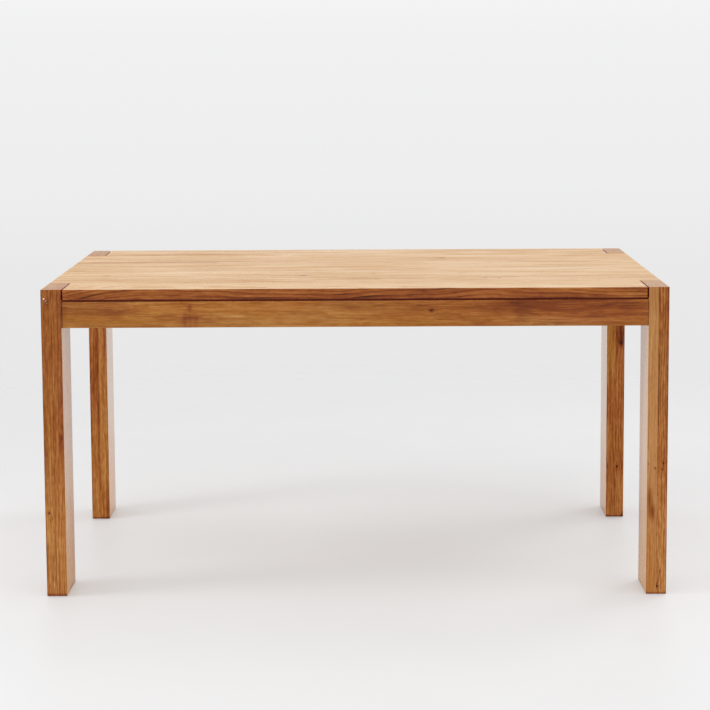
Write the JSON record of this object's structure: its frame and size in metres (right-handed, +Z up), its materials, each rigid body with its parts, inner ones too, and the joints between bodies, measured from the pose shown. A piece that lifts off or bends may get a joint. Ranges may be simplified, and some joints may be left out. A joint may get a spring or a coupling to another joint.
{
  "type": "parsons dining table",
  "caption": "Rectangular solid teak parsons dining table with plank legs flush through the top's corners and a shadow gap above the aprons.",
  "frame": {"origin": "on the floor under the centre of the top", "axes": "+X to the right along the long side, +Y to the back, +Z up; the side seen from the front is the -Y face"},
  "size_m": [1.524, 0.914, 0.762],
  "materials": {
    "teak_top": "satin lacquered teak, edge-glued boards, grain along X",
    "teak_leg": "satin lacquered teak, grain along Z, end grain on top",
    "teak_apron": "satin lacquered teak, grain along the apron",
    "teak_inner": "planed teak, unfinished",
    "dowel_wood": "plain hardwood dowel",
    "zinc_steel": "bright zinc plated",
    "brass_insert": "turned",
    "glide_nylon": "matt brown nylon"
  },
  "bodies": {
    "root": {"leg_front_left_outer": "teak_leg", "leg_front_left_inner": "teak_leg", "leg_front_right_outer": "teak_leg", "leg_front_right_inner": "teak_leg", "leg_back_left_outer": "teak_leg", "leg_back_left_inner": "teak_leg", "leg_back_right_outer": "teak_leg", "leg_back_right_inner": "teak_leg", "top_board_1": "teak_top", "top_board_2": "teak_top", "top_board_3": "teak_top", "top_board_4": "teak_top", "top_board_5": "teak_top", "top_board_6": "teak_top", "top_board_7": "teak_top", "top_board_8": "teak_top", "apron_front": "teak_apron", "apron_back": "teak_apron", "apron_left": "teak_apron", "apron_right": "teak_apron", "cross_rail_left": "teak_inner", "cross_rail_middle": "teak_inner", "cross_rail_right": "teak_inner", "leg_block_front_left": "teak_inner", "leg_block_front_right": "teak_inner", "leg_block_back_left": "teak_inner", "leg_block_back_right": "teak_inner", "leg_bolts": "zinc_steel", "leg_bolt_washers": "zinc_steel", "block_screws": "zinc_steel", "rail_screws": "zinc_steel", "long_apron_brackets": "zinc_steel", "side_apron_brackets": "zinc_steel", "bracket_screws": "zinc_steel", "glide_nails": "zinc_steel", "leg_inserts": "brass_insert", "board_dowels": "dowel_wood", "long_apron_dowels": "dowel_wood", "side_apron_dowels": "dowel_wood", "floor_glides": "glide_nylon"}
  },
  "joints": []
}
